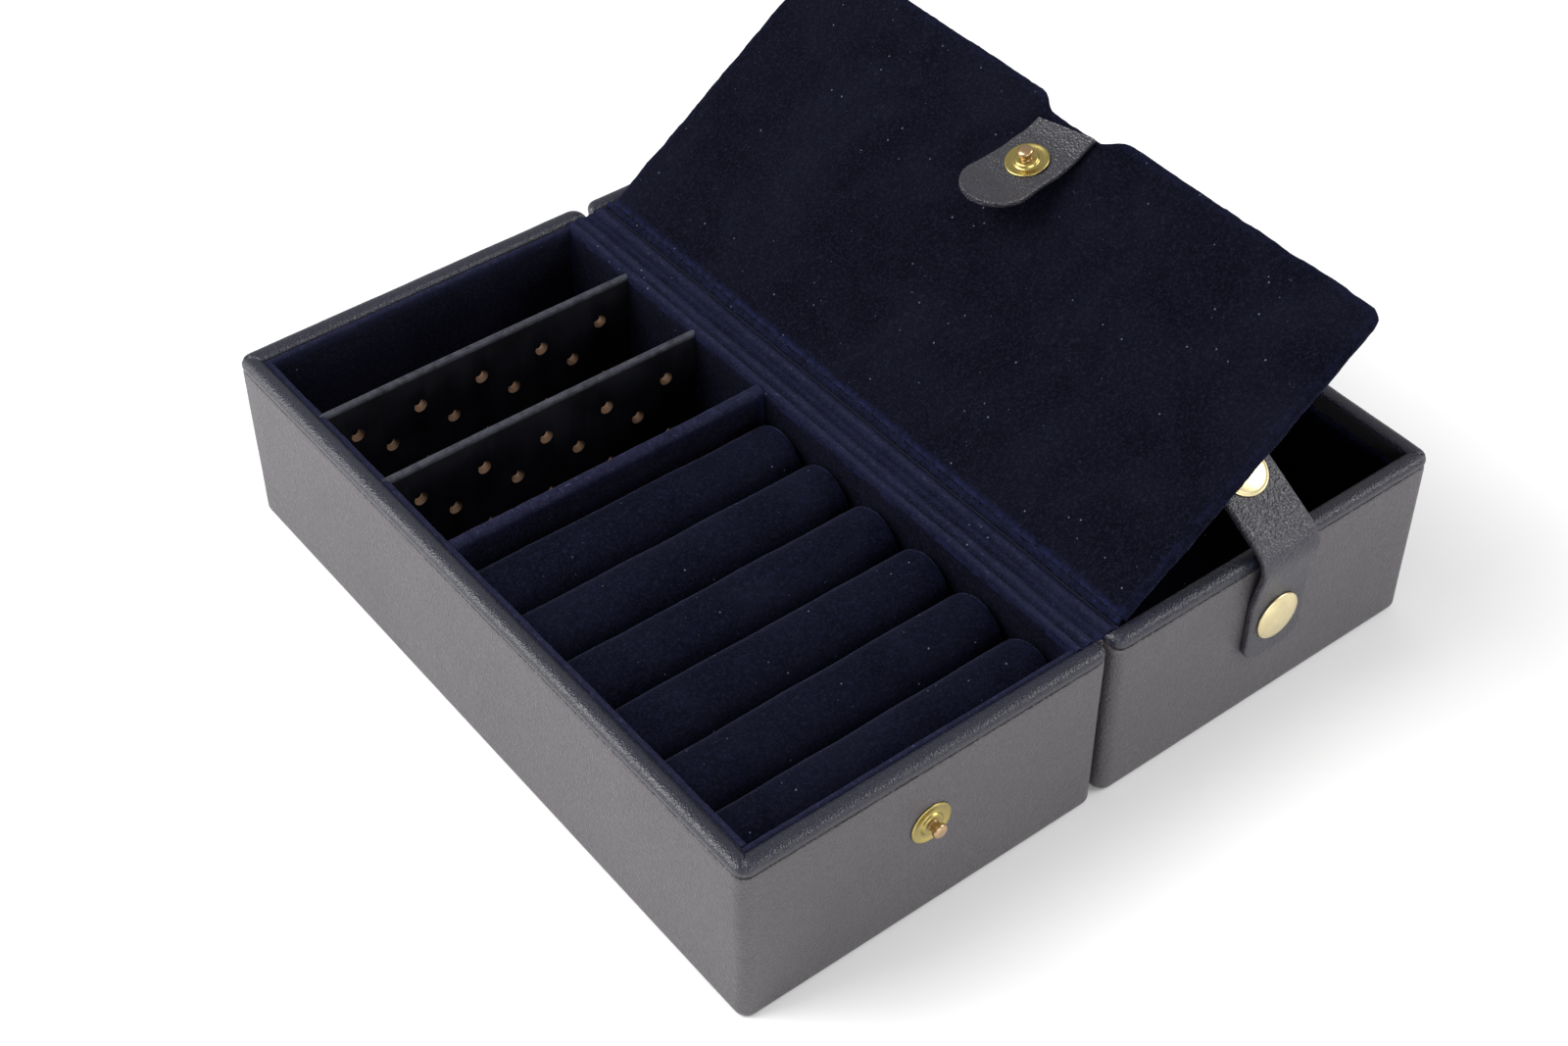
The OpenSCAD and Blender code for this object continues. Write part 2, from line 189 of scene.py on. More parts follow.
def velvet(name, deep, nap, fluff, amount=0.10, crest=None):
    """Cotton velvet: a dark pile that shows brighter in brushed patches, with lint in it.

    crest is (height it starts, height it is full, colour): a painted highlight, a brighter band along the top
    edge where the pile faces the light."""
    s = Shader(name)
    brushed = s.between(s.noise(55, 4.0, 0.6, warp=0.6), 0.38, 0.68)
    pile = s.noise(2200, 2.0, 0.6)
    tufts = s.noise(700, 2.0, 0.5)
    body = s.mix(brushed, deep, nap)
    body = s.mix(s.between(pile, 0.48, 0.78), body, fluff)
    matted = s.between(s.noise(1250, 5.0, 0.8, warp=0.4), 0.52, 0.72)
    body = s.mix(s.math("MULTIPLY", matted, 0.75), body, tuple(1.5 * c for c in fluff))
    # Painted highlight: the pile on convex edges is made brighter blue, as where it catches the light at
    # grazing angles.
    turned = s.between(s.node("ShaderNodeNewGeometry").outputs["Pointiness"], 0.505, 0.56)
    caught = s.math("MULTIPLY", turned, s.between(tufts, 0.35, 0.6, 0.2, 0.8))
    body = s.mix(caught, body, (0.010, 0.012, 0.040))
    # Painted highlight: the pile is made brighter blue in a patchy, threaded band along the top edge, where
    # it faces the light.
    if crest:
        split = s.node("ShaderNodeSeparateXYZ")
        s.feed(split.inputs[0], s.place)
        patchy = s.between(s.noise(420, 4.0, 0.7, warp=0.5), 0.3, 0.62, 0.25, 1.0)
        rubbed = s.math("MULTIPLY", s.between(split.outputs["Z"], crest[0], crest[1]), patchy)
        body = s.mix(rubbed, body, crest[2])
        threads = s.between(s.noise(2400, 3.0, 0.7, place=s.stretched((1, 0.5, 1), (0, 0, 0.6))), 0.56, 0.7)
        body = s.mix(s.math("MULTIPLY", s.math("MULTIPLY", rubbed, threads), 0.6), body, (0.05, 0.056, 0.12))
    body = s.mix(s.math("MULTIPLY", lint(s, amount), 0.7), body, (0.13, 0.15, 0.22))
    normal = s.bump(pile, 0.5, 0.0002)
    normal = s.bump(tufts, 0.4, 0.0004, normal)
    rough = s.between(brushed, 0, 1, 0.95, 0.85)
    return s.set(Base_Color=body, Roughness=rough, Specular_IOR_Level=0.03, Normal=normal,
                 Sheen_Weight=0.16, Sheen_Roughness=0.26, Sheen_Tint=(0.38, 0.41, 0.72))


def leather(name, colour, worn, grain=1.0, gloss=0.42, pebble=2600, spot=None):
    """Grained leather: small pebbles with creases between them, rubbed lighter on the edges.

    gloss is the roughness, and pebble how many grains fill a metre. spot is a place in metres where
    the dye has worn through to tan."""
    s = Shader(name)
    pebbles = s.between(s.cells(pebble, "SMOOTH_F1"), 0.05, 0.75)
    creases = s.noise(1300, 4.0, 0.6, warp=0.8)
    drawn = s.noise(160, 4.0, 0.6, warp=1.2)
    pores = s.noise(5200, 1.0)
    tone = s.between(s.noise(38, 3.0, 0.6), 0.35, 0.7)
    speckle = s.between(s.noise(1500, 5.0, 0.8), 0.42, 0.62)
    edge = s.between(s.node("ShaderNodeNewGeometry").outputs["Pointiness"], 0.52, 0.6)
    body = s.mix(tone, colour, tuple(0.8 * c for c in colour))
    body = s.mix(s.math("MULTIPLY", speckle, 0.6), body, tuple(0.62 * c for c in colour))
    body = s.mix(s.math("MULTIPLY", pebbles, 0.6), body, tuple(0.35 * c for c in colour))
    body = s.mix(s.math("MULTIPLY", edge, s.between(creases, 0.4, 0.65)), body, worn)
    if spot:
        reach = s.node("ShaderNodeVectorMath", operation="DISTANCE")
        s.feed(reach.inputs[0], s.place)
        reach.inputs[1].default_value = spot
        ragged = s.math("MULTIPLY", s.noise(900, 3.0), 0.0016)
        patch = s.between(s.math("ADD", reach.outputs["Value"], ragged), 0.0026, 0.0016)
        body = s.mix(patch, body, (0.20, 0.11, 0.065))
    normal = s.bump(pebbles, 0.6 * grain, 0.00018)
    normal = s.bump(creases, 0.30 * grain, 0.00014, normal)
    normal = s.bump(drawn, 0.16 * grain, 0.0005, normal)
    normal = s.bump(pores, 0.10, 0.00004, normal)
    rough = s.between(creases, 0.3, 0.7, gloss - 0.06, gloss + 0.12)
    return s.set(Base_Color=body, Roughness=rough, Specular_IOR_Level=0.5, Normal=normal)


def brass(name, colour, rough):
    """Polished brass with hairline scratches and a little dulling."""
    s = Shader(name)
    scratches = s.noise(900, 3.0, 0.6, place=s.stretched((1, 0.06, 1), (0.3, 0.9, 0.5)))
    dull = s.between(s.noise(260, 3.0), 0.4, 0.75)
    body = s.mix(dull, colour, tuple(0.8 * c for c in colour))
    normal = s.bump(scratches, 0.12, 0.00005)
    return s.set(Base_Color=body, Metallic=1.0, Roughness=s.between(dull, 0, 1, rough, rough + 0.12),
                 Normal=normal)


def board(name, colour):
    """Pasteboard with pressed fibres."""
    s = Shader(name)
    fibres = s.noise(1500, 4.0, 0.7, place=s.stretched((1, 1, 0.3)))
    body = s.mix(fibres, tuple(0.6 * c for c in colour), colour)
    return s.set(Base_Color=body, Roughness=s.between(fibres, 0, 1, 0.75, 0.95),
                 Normal=s.bump(fibres, 0.4, 0.0002))


def glazed_card(name, edge_from, edge_to):
    """Black glazed bookcloth over card, with a fine weave, rubbed grey where it turns over the top."""
    s = Shader(name)
    weave = s.noise(2600, 1.0, place=s.stretched((1, 1, 0.35)))
    smear = s.between(s.noise(90, 3.0), 0.4, 0.7)
    body = s.mix(smear, (0.0016, 0.0017, 0.003), (0.003, 0.0032, 0.006))
    split = s.node("ShaderNodeSeparateXYZ")
    s.feed(split.inputs[0], s.place)
    turnover = s.between(split.outputs["Z"], edge_from, edge_to)
    fold = s.math("MULTIPLY", turnover, s.between(s.noise(500, 3.0, 0.7), 0.3, 0.6, 0.35, 1.0))
    body = s.mix(fold, body, (0.045, 0.047, 0.060))
    return s.set(Base_Color=body, Roughness=s.between(smear, 0, 1, 0.42, 0.6), Specular_IOR_Level=0.18,
                 Normal=s.bump(weave, 0.25, 0.0001))


# Velvet colours, from the bottom of the pile to its tips, and the painted highlight along lit top edges.
DEEP = (0.0017, 0.0018, 0.0046)
NAP = (0.0036, 0.0037, 0.0084)
FLUFF = (0.0074, 0.0078, 0.0168)
TOP_HIGHLIGHT = (0.0128, 0.0136, 0.030)
M_VELVET = velvet("velvet", DEEP, NAP, FLUFF, 0.19)
M_LINING = velvet("velvet_lining", (0.0034, 0.0036, 0.0070), (0.0060, 0.0063, 0.0130),
                  (0.0110, 0.0116, 0.0250), 0.05, (0.0360, 0.0379, TOP_HIGHLIGHT))
M_LINING_SPINE = velvet("velvet_spine", DEEP, NAP, FLUFF, 0.05, (0.0368, 0.0396, TOP_HIGHLIGHT))
M_DIVIDER = velvet("velvet_divider", DEEP, NAP, FLUFF, 0.08, (0.0366, 0.0377, TOP_HIGHLIGHT))
M_WEB = velvet("velvet_web", (0.0030, 0.0033, 0.0088), (0.0058, 0.0063, 0.0172),
               (0.0108, 0.0118, 0.030), 0.12, (0.0381, 0.0388, TOP_HIGHLIGHT))
# Painted shade: a darker copy of the velvet, for the well tray's linings and floor, which lie in shadow; the
# tape nodes get it too.
M_VELVET_SHADED = velvet("velvet_painted_shade", (0.0010, 0.0011, 0.0026), (0.0014, 0.0016, 0.0042),
                       (0.003, 0.0034, 0.008), 0.02)

HINGE_END = (-0.0006, NEAR * MM, RIM_TOP * MM)
# Partly painted sheen: the base colour is lifted to grey above the leather's own dark navy, standing in for
# the lamps' broad reflection on the walls.
M_LEATHER_SHEEN = leather("leather", (0.098, 0.089, 0.100), (0.15, 0.14, 0.14), grain=1.1)
M_RIM = leather("leather_rim", (0.016, 0.0165, 0.031), (0.10, 0.10, 0.12), grain=0.9,
                gloss=0.30, pebble=3400, spot=HINGE_END)
M_STRAP = leather("leather_strap", (0.045, 0.043, 0.057), (0.10, 0.095, 0.11), grain=1.5,
                  gloss=0.32, pebble=2300)
M_TAB = leather("leather_tab", (0.040, 0.039, 0.050), (0.10, 0.10, 0.12), grain=1.5, gloss=0.29)
M_BRASS = brass("brass", (0.80, 0.69, 0.41), 0.30)
M_AGED = brass("brass_aged", (0.46, 0.37, 0.13), 0.26)
M_ROSE = brass("brass_post", (0.50, 0.34, 0.19), 0.26)
# Painted shade: the board is near black, so that board showing in the crease gap reads as the crease's
# shadow.
M_BOARD_SHADE = board("board_painted_shade", (0.012, 0.012, 0.016))
M_RAW = board("raw_card_edge", (0.17, 0.094, 0.052))
M_CARD = glazed_card("glazed_card", 0.0371, 0.0376)


# ---- mesh making -----------------------------------------------------------------------------

def wobble(p, reach, amount, seed=0.0):
    """Smooth unevenness of hand-made goods: a small vector that varies over reach millimetres."""
    return noise.noise_vector(Vector(p) / reach + Vector((seed, seed * 0.7, -seed))) * amount


def piece(name, points, faces, material, body=None, slot=None, stands_for=(), sharp=40, fold=None):
    """Makes a mesh object from millimetre points, and says what it moves with and replaces."""
    mesh = bpy.data.meshes.new(name)
    mesh.from_pydata([tuple(Vector(p) * MM) for p in points], [], faces)
    bm = bmesh.new()
    bm.from_mesh(mesh)
    bmesh.ops.remove_doubles(bm, verts=bm.verts, dist=1e-7)
    bmesh.ops.recalc_face_normals(bm, faces=bm.faces)
    bm.to_mesh(mesh)
    bm.free()
    mesh.polygons.foreach_set("use_smooth", [True] * len(mesh.polygons))
    mesh.set_sharp_from_angle(angle=radians(sharp))
    made = bpy.data.objects.new(name, mesh)
    bpy.context.scene.collection.objects.link(made)
    mesh.materials.append(material)
    return settle(made, body, slot, stands_for, fold)


def settle(made, body=None, slot=None, stands_for=(), fold=None):
    """Ties a finished piece to its body and hides the CAD nodes it replaces; a piece given a fold is only
    baked in place, tied to no body.
    """
    if fold:
        first, second, start, end = fold
        tuple(Vector(start) * MM)
        tuple(Vector(end) * MM)
        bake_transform(made)
    elif body:
        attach(made, body)
    if stands_for:
        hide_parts(*stands_for)
    return made


def loft(rings, caps=(True, True)):
    """Points and faces of a skin over closed rings that have the same number of points."""
    n = len(rings[0])
    points = [p for ring in rings for p in ring]
    faces = []
    for k in range(len(rings) - 1):
        for i in range(n):
            j = (i + 1) % n
            faces.append((k * n + i, k * n + j, (k + 1) * n + j, (k + 1) * n + i))
    if caps[0]:
        faces.append(tuple(range(n - 1, -1, -1)))
    if caps[1]:
        faces.append(tuple(range((len(rings) - 1) * n, len(rings) * n)))
    return points, faces


def steps(low, high, size):
    """Evenly spaced numbers from low to high, about size apart."""
    n = max(1, round(abs(high - low) / size))
    return [low + (high - low) * i / n for i in range(n + 1)]


def smooth(x):
    """0 below 0 and 1 above 1, with a soft step between."""
    x = min(1.0, max(0.0, x))
    return x * x * (3 - 2 * x)


def circle(r, n):
    """n points round a circle."""
    return [(r * cos(2 * pi * i / n), r * sin(2 * pi * i / n)) for i in range(n)]


def lathe(profile, origin, axis, turns=72):
    """A turned shape: profile is (radius, height) from the axis at the back to the axis in front."""
    turn = Vector((0, 0, 1)).rotation_difference(Vector(axis)).to_matrix()
    rings = []
    for r, h in profile[1:-1]:
        rings.append([Vector(origin) + turn @ Vector((x, y, h)) for x, y in circle(r, turns)])
    points, faces = loft(rings, (False, False))
    for end, ring in ((profile[0], 0), (profile[-1], len(rings) - 1)):
        points.append(Vector(origin) + turn @ Vector((0, 0, end[1])))
        tip = len(points) - 1
        faces += [(ring * turns + i, ring * turns + (i + 1) % turns, tip) for i in range(turns)]
    return points, faces


# ---- trays -----------------------------------------------------------------------------------

class Tray:
    """One tray's own frame: u from its outer wall to the spine, v from the near wall to the far."""

    def __init__(self, name, low, high, mirrored):
        self.name = name
        self.low = low
        self.high = high
        self.mirrored = mirrored

    def at(self, u, v, z):
        x = self.high.x - u if self.mirrored else self.low.x + u
        return Vector((x, self.low.y + v, z))


RING = Tray("ring_tray", RING_LOW, RING_HIGH, False)
WELL = Tray("well_tray", WELL_LOW, WELL_HIGH, True)


def arc(cu, cv, r, start, end, n=6):
    """Points on an arc in u, v, with its angles in degrees."""
    angles = [radians(start + (end - start) * i / n) for i in range(n + 1)]
    return [(cu + r * cos(a), cv + r * sin(a)) for a in angles]


def tray_outline():
    """The tray's rounded rectangle in u, v, its straight runs cut into short steps."""
    r, far_u, far_v, cut = CORNER_R, TRAY_W - CORNER_R, TRAY_L - CORNER_R, 3.5
    ring = arc(r, r, r, 180, 270) + [(u, 0) for u in steps(r, far_u, cut)[1:-1]]
    ring += arc(far_u, r, r, 270, 360) + [(TRAY_W, v) for v in steps(r, far_v, cut)[1:-1]]
    ring += arc(far_u, far_v, r, 0, 90) + [(u, TRAY_L) for u in steps(far_u, r, cut)[1:-1]]
    ring += arc(r, far_v, r, 90, 180) + [(0, v) for v in steps(far_v, r, cut)[1:-1]]
    return ring


def fitted_outline(inset):
    """tray_outline shrunk by inset, with the same number of points."""
    ring = []
    for u, v in tray_outline():
        cu = min(max(u, CORNER_R), TRAY_W - CORNER_R)
        cv = min(max(v, CORNER_R), TRAY_L - CORNER_R)
        keep = (CORNER_R - inset) / CORNER_R
        ring.append((cu + (u - cu) * keep, cv + (v - cv) * keep))
    return ring


def tray_leather(tray):
    """The leather covering of the outer walls and underside, drawn tight over the boards."""
    levels = [(2.2, 0.0), (1.2, 0.0), (0.55, 0.12), (0.2, 0.4), (0.03, 0.9)]
    levels += [(0.0, z) for z in steps(1.6, SKIN_TOP - 0.8, 3.0)]
    levels += [(0.02, SKIN_TOP - 0.35), (0.2, SKIN_TOP - 0.08), (0.5, SKIN_TOP)]
    levels += [(SKIN_T, SKIN_TOP), (SKIN_T, SKIN_TOP - 1.2)]
    halfway = 80
    rings = []
    for inset, z in levels:
        ring = []
        for u, v in fitted_outline(inset):
            on_spine = u > TRAY_W - SKIN_T - 0.1 and WALL < v < TRAY_L - WALL
            top = SPINE_TOP - 0.05 if on_spine else SKIN_TOP
            height = z if z < SKIN_TOP - 2 else z + top - SKIN_TOP
            p = tray.at(u, v, height)
            soft = smooth(z / 4) * smooth((SKIN_TOP - z) / 4)
            dent = wobble(p, 22, 0.16, 3.1) + wobble(p, 7, 0.05, 9.4)
            if u > TRAY_W / 2 + 30:
                dent = Vector((0, dent.y, 0))
            dent.x = min(0.0, dent.x) if tray.mirrored else max(0.0, dent.x)
            dent.y = max(0.0, dent.y) if v < halfway else min(0.0, dent.y)
            dent.z = 0
            ring.append(p + dent * soft)
        rings.append(ring)
    points, faces = loft(rings, (True, False))
    return piece(f"{tray.name}_leather", points, faces, M_LEATHER_SHEEN, tray.name, "leather",
                 [f"{tray.name}_skin"])


def rim_outline(inset):
    """The rim's U in plan, along the near, outer and far walls, as [outer run, inner run].

    inset shrinks the band on both sides."""
    r = CORNER_R - inset * 0.6
    w = WALL - inset
    q = 0.35 + inset * 0.5
    end = TRAY_W - inset
    run = steps(TRAY_W - CORNER_R, CORNER_R + 2.5, 3.0)
    outer = arc(end - r, inset + r, r, 0, -90) + [(u, inset) for u in run[1:]]
    outer += arc(inset + r, inset + r, r, 270, 180)
    inner = [(end, w)] * 3 + [(end - r * k / 4, w) for k in range(1, 5)] + [(u, w) for u in run[1:]]
    inner += arc(w + q, w + q, q, 270, 180)
    side = steps(CORNER_R + 2.5, TRAY_L - CORNER_R - 2.5, 3.0)
    return [points + [(u, v) for v in side] + [(a, TRAY_L - b) for a, b in reversed(points)]
            for points, u in ((outer, inset), (inner, w))]


def tray_rim(tray):
    """The leather rim turned over the top of the walls, slightly crowned, with softened edges."""
    profile = [(0.5, RIM_LOW - 0.05), (0.16, RIM_LOW + 0.08), (0.02, RIM_LOW + 0.4), (0.0, RIM_LOW + 1.2),
               (0.05, RIM_TOP - 0.95), (0.2, RIM_TOP - 0.6), (0.45, RIM_TOP - 0.34), (0.8, RIM_TOP - 0.15),
               (1.2, RIM_TOP - 0.04), (1.65, RIM_TOP)]
    rings = []
    for inset, z in profile:
        outer, inner = rim_outline(inset)
        ring = []
        for u, v in outer + inner[::-1]:
            p = tray.at(u, v, z)
            dent = abs(wobble(p, 9, 0.12, 5.0).z) + abs(wobble(p, 2.6, 0.05, 2.0).z)
            if abs(u - min(v, TRAY_L - v)) < 0.12:
                dent += 0.28
            ring.append(p + Vector((0, 0, -dent * smooth((z - RIM_LOW) / 2))))
        rings.append(ring)
    points, faces = loft(rings, (False, False))
    n, half = len(rings[0]), len(rings[0]) // 2
    for level in (0, len(rings) - 1):
        first = level * n
        last = first + n - 1
        faces += [(first + i, first + i + 1, last - 1 - i, last - i) for i in range(half - 1)]
    return piece(f"{tray.name}_rim_leather", points, faces, M_RIM, tray.name, "leather_rim",
                 [f"{tray.name}_rim"], sharp=50)


def slab(name, node, along, material, body, fuzz=0.08, crown=None, lift=None):
    """A velvet-covered card standing on edge, its top rounded over; along is 0 for x and 1 for y."""
    low, high = size_of(node)
    across = 1 - along
    t0, t1 = low[across], high[across]
    half = (t1 - t0) / 2
    top_r = crown or half
    rings = []
    for s in steps(low[along], high[along], 1.6):
        top = high.z + (lift(s) if lift else 0)
        section = [(t0, z) for z in steps(low.z, top - top_r, 3.0)]
        section += [((t0 + t1) / 2 - half * cos(radians(a)), top - top_r + top_r * sin(radians(a)))
                    for a in (22, 45, 68, 90, 112, 135, 158)]
        section += [(t1, z) for z in steps(top - top_r, low.z, 3.0)]
        ring = []
        for t, z in section:
            p = Vector((s, t, z)) if along == 0 else Vector((t, s, z))
            near_top = smooth((z - (top - 3)) / 3)
            d = wobble(p, 1.1, fuzz, 2.0) + wobble(p, 9, 0.12, 6.0)
            d[along] = 0
            d.z = -abs(d.z)
            ring.append(p + d * near_top)
        rings.append(ring)
    n = min(len(r) for r in rings)
    rings = [r if len(r) == n else r[:n] for r in rings]
    points, faces = loft(rings)
    return piece(name, points, faces, material, body, "velvet", [node])


def tray_linings(tray, velvet_side):
    """The velvet-covered lining cards on the four walls."""
    for side, along in (("outer", 1), ("spine", 1), ("near", 0), ("far", 0)):
        node = f"{tray.name}_lining_{side}"
        look = M_LINING_SPINE if node == "ring_tray_lining_spine" else velvet_side
        slab(f"{tray.name}_velvet_{side}", node, along, look, tray.name)


def tray_floor(tray, material):
    """The velvet-covered card that lies on the floor of a tray, its pile a little uneven."""
    node = f"{tray.name}_lining_floor"
    low, high = size_of(node)
    top = []
    columns, rows = steps(low.x, high.x, 3), steps(low.y, high.y, 3)
    for y in rows:
        for x in columns:
            rise = wobble((x, y, 0), 12, 0.12, 4.0).z
            top.append(Vector((x, y, high.z - abs(rise))))
    w = len(columns)
    faces = [(j * w + i, j * w + i + 1, (j + 1) * w + i + 1, (j + 1) * w + i)
             for j in range(len(rows) - 1) for i in range(w - 1)]
    rim = list(range(w)) + [j * w + w - 1 for j in range(1, len(rows))]
    rim += [(len(rows) - 1) * w + i for i in range(w - 2, -1, -1)]
    rim += [j * w for j in range(len(rows) - 2, 0, -1)]
    base = len(top)
    points = top + [Vector((top[i].x, top[i].y, low.z)) for i in rim]
    n = len(rim)
    faces += [(rim[i], rim[(i + 1) % n], base + (i + 1) % n, base + i) for i in range(n)]
    faces.append(tuple(base + i for i in range(n)))
    return piece(f"{tray.name}_velvet_floor", points, faces, material, tray.name, "velvet", [node])


for tray in (RING, WELL):
    tray_leather(tray)
    tray_rim(tray)
tray_linings(RING, M_LINING)
tray_linings(WELL, M_VELVET_SHADED)
tray_floor(RING, M_VELVET)
tray_floor(WELL, M_VELVET_SHADED)


# ---- ring tray contents ----------------------------------------------------------------------

def divider():
    """The velvet-covered divider, standing a little higher where it meets the spine."""
    spine_end = size_of("divider")[1].x

    def lift(x):
        return 0.35 * smooth((x - spine_end + 14) / 14)

    slab("divider_velvet", "divider", 0, M_DIVIDER, "ring_tray", fuzz=0.12, crown=1.1, lift=lift)


def earring_panel(side):
    """A glazed card with rows of punched holes that narrow inwards, raw board showing in each."""
    node = f"earring_panel_{side}"
    low, high = size_of(node)
    crown = 0.45
    half = (high.y - low.y) / 2
    rings = []
    for x in steps(low.x, high.x, 2.0):
        section = [(low.y, low.z), (low.y, high.z - crown)]
        section += [(low.y + half - half * cos(radians(a)), high.z - crown + crown * sin(radians(a)))
                    for a in (30, 60, 90, 120, 150)]
        section += [(high.y, high.z - crown), (high.y, low.z)]
        bow = 0.12 * sin(pi * (x - low.x) / (high.x - low.x))
        rings.append([Vector((x, y + bow, z)) for y, z in section])
    points, faces = loft(rings)
    made = piece(f"{node}_card", points, faces, M_CARD)
    made.data.materials.append(M_RAW)
    hole_r, pitch, first, rows = 1.4, 14.0, 10.9, (8.0, 14.2, 22.2)
    depths = ((low.y - 0.5, hole_r), (low.y + 0.15, hole_r), (high.y + 0.3, hole_r * 0.5))
    points, faces = [], []
    for row, below in enumerate(rows):
        for i in range(5 - row % 2):
            x = RING_LOW.x + first + (i + row % 2 / 2) * pitch
            z = high.z - below
            more, sides = loft([[Vector((x + a, y, z + b)) for a, b in circle(r, 32)] for y, r in depths])
            faces += [tuple(len(points) + v for v in f) for f in sides]
            points += more
    cutter = piece("hole_cutter", points, faces, M_RAW)
    cut = made.modifiers.new("holes", "BOOLEAN")
    cut.operation = "DIFFERENCE"
    cut.solver = "EXACT"
    cut.object = cutter
    if hasattr(cut, "material_mode"):
        cut.material_mode = "TRANSFER"
    apply_modifiers(made)
    bpy.data.objects.remove(cutter)
    made.data.set_sharp_from_angle(angle=radians(35))
    return settle(made, "ring_tray", "card", [node])


def apply_modifiers(made):
    """Bakes an object's modifiers into its mesh."""
    graph = bpy.context.evaluated_depsgraph_get()
    mesh = bpy.data.meshes.new_from_object(made.evaluated_get(graph))
    made.modifiers.clear()
    made.data = mesh


def ring_roll(i):
    """A foam roll in velvet: a full round top, drawn in at its ends, its foot pressed to its neighbours."""
    node = f"ring_roll_{i}"
    low, high = size_of(node)
    r = (high.y - low.y) / 2
    mid = (high.y + low.y) / 2
    centre = high.z - r
    rings = []
    ends = [0.0, 0.25, 0.6, 1.1, 1.8]
    xs = [low.x + e for e in ends] + steps(low.x + 2.6, high.x - 2.6, 1.8)
    xs += [high.x - e for e in reversed(ends)]
    for x in xs:
        inner = min(x - low.x, high.x - x)
        pull = 1.3 * (1 - sqrt(1 - (1 - min(1.0, inner / 1.8)) ** 2))
        section = [(-r + 0.03, z) for z in steps(low.z, centre, 3.0)[:-1]]
        section += [(-(r - 0.03) * cos(radians(a)), centre + r * sin(radians(a))) for a in range(0, 181, 9)]
        section += [(r - 0.03, z) for z in steps(centre, low.z, 3.0)[1:]]
        ring = []
        for y, z in section:
            p = Vector((x, mid + y, z))
            out = Vector((0, y, max(0.0, z - centre))).normalized()
            dent = wobble(p, 11, 0.22, i * 3.7).x - 0.12 + wobble(p, 2.0, 0.05, i).y
            drop = pull * (0.4 + 0.6 * smooth((z - low.z) / 6))
            ring.append(p + out * min(0.0, dent) - out * drop)
        rings.append(ring)
    points, faces = loft(rings)
    made = piece(f"{node}_velvet", points, faces, M_VELVET, "ring_tray", "velvet", [node])
    return made


divider()
for side in ("back", "front"):
    earring_panel(side)
for i in range(1, 7):
    ring_roll(i)


# ---- spine -----------------------------------------------------------------------------------

def web_height(x, y):
    """Top of the velvet over the spine: it follows the wall tops and dips into the gap."""
    left = size_of("ring_tray_lining_spine")[0].x
    ridges = ((left + 0.95, 0.7, 0.80), (-2.4, 0.85, 0.74), (0.2, 0.6, 0.30), (2.4, 0.95, 0.72))
    z = RIM_TOP - 0.95
    for centre, spread, height in ridges:
        drift = 0.3 * noise.noise(Vector((0, y / 18, centre * 3)))
        swell = 1 + 0.22 * noise.noise(Vector((centre, y / 7, 1.0)))
        z += height * swell * exp(-((x - centre - drift) / spread) ** 2)
    return min(z, RIM_TOP - 0.08)


def spine_web():
    """The velvet that runs over both spine walls and across the gap, ridged along its length."""
    low = size_of("spine_velvet_left")[0]
    low.x = size_of("ring_tray_lining_spine")[0].x
    high = size_of("spine_velvet_right")[1]
    rings = []
    for y in steps(low.y, high.y, 1.5):
        top = [(low.x, RIM_TOP - 2.1), (low.x + 0.02, RIM_TOP - 1.4), (low.x + 0.15, RIM_TOP - 0.9)]
        top += [(x, web_height(x, y)) for x in steps(low.x + 0.45, high.x - 0.3, 0.35)]
        top += [(high.x - 0.05, RIM_TOP - 0.75), (high.x, RIM_TOP - 1.15)]
        under = [(high.x - 0.6, RIM_TOP - 1.18), (0.85, RIM_TOP - 1.18), (0.3, RIM_TOP - 1.3)]
        under += [(-0.3, RIM_TOP - 1.3), (-0.85, RIM_TOP - 1.18)]
        under += [(low.x + 1.42, RIM_TOP - 1.18), (low.x + 1.42, RIM_TOP - 2.1)]
        ring = []
        for x, z in top + under:
            p = Vector((x, y, z))
            fluff = wobble(p, 1.0, 0.10, 8.0) if (x, z) in top else Vector((0, 0, 0))
            ring.append(p + Vector((0, 0, -abs(fluff.z))))
        rings.append(ring)
    points, faces = loft(rings)
    y = (low.y + high.y) / 2
    return piece("spine_velvet_web", points, faces, M_WEB, None, "velvet",
                 ["spine_velvet_left", "spine_velvet_right"],
                 fold=("ring_tray", "well_tray", (-0.8, y, RIM_TOP), (0.8, y, RIM_TOP)))


def shifted(x, by, free):
    """x moved away from the spine's middle, unless it is within free of it."""
    if abs(x) <= free:
        return x
    return x + by if x > 0 else x - by


def spine_leather():
    """The leather hinge: one strip glued down both spine walls and folded over inside the gap."""
    low, high = size_of("spine_leather_left")
    far_x = size_of("spine_leather_right")[1].x
    t = 0.35
    path = [(low.x + t, low.z), (low.x + t, high.z - 0.7), (-0.25, high.z - 0.35), (0, high.z - 0.28)]
    path += [(0.25, high.z - 0.35), (far_x - t, high.z - 0.7), (far_x - t, low.z)]
    rings = []
    for y in steps(low.y, high.y, 4.0):
        outer = [Vector((shifted(x, 0.3, 0.4), y, z + (0.25 if abs(x) < 0.4 else 0))) for x, z in path]
        inner = [Vector((shifted(x, -0.12, 0), y, z - (0.15 if abs(x) < 0.4 else 0)))
                 for x, z in reversed(path)]
        rings.append(outer + inner)
    points, faces = loft(rings)
    y = (low.y + high.y) / 2
    return piece("spine_leather_hinge", points, faces, M_LEATHER_SHEEN, None, "leather",
                 ["spine_leather_left", "spine_leather_right"],
                 fold=("ring_tray", "well_tray", (-0.25, y, RIM_TOP), (0.25, y, RIM_TOP)))


spine_web()
spine_leather()


# ---- straps ----------------------------------------------------------------------------------

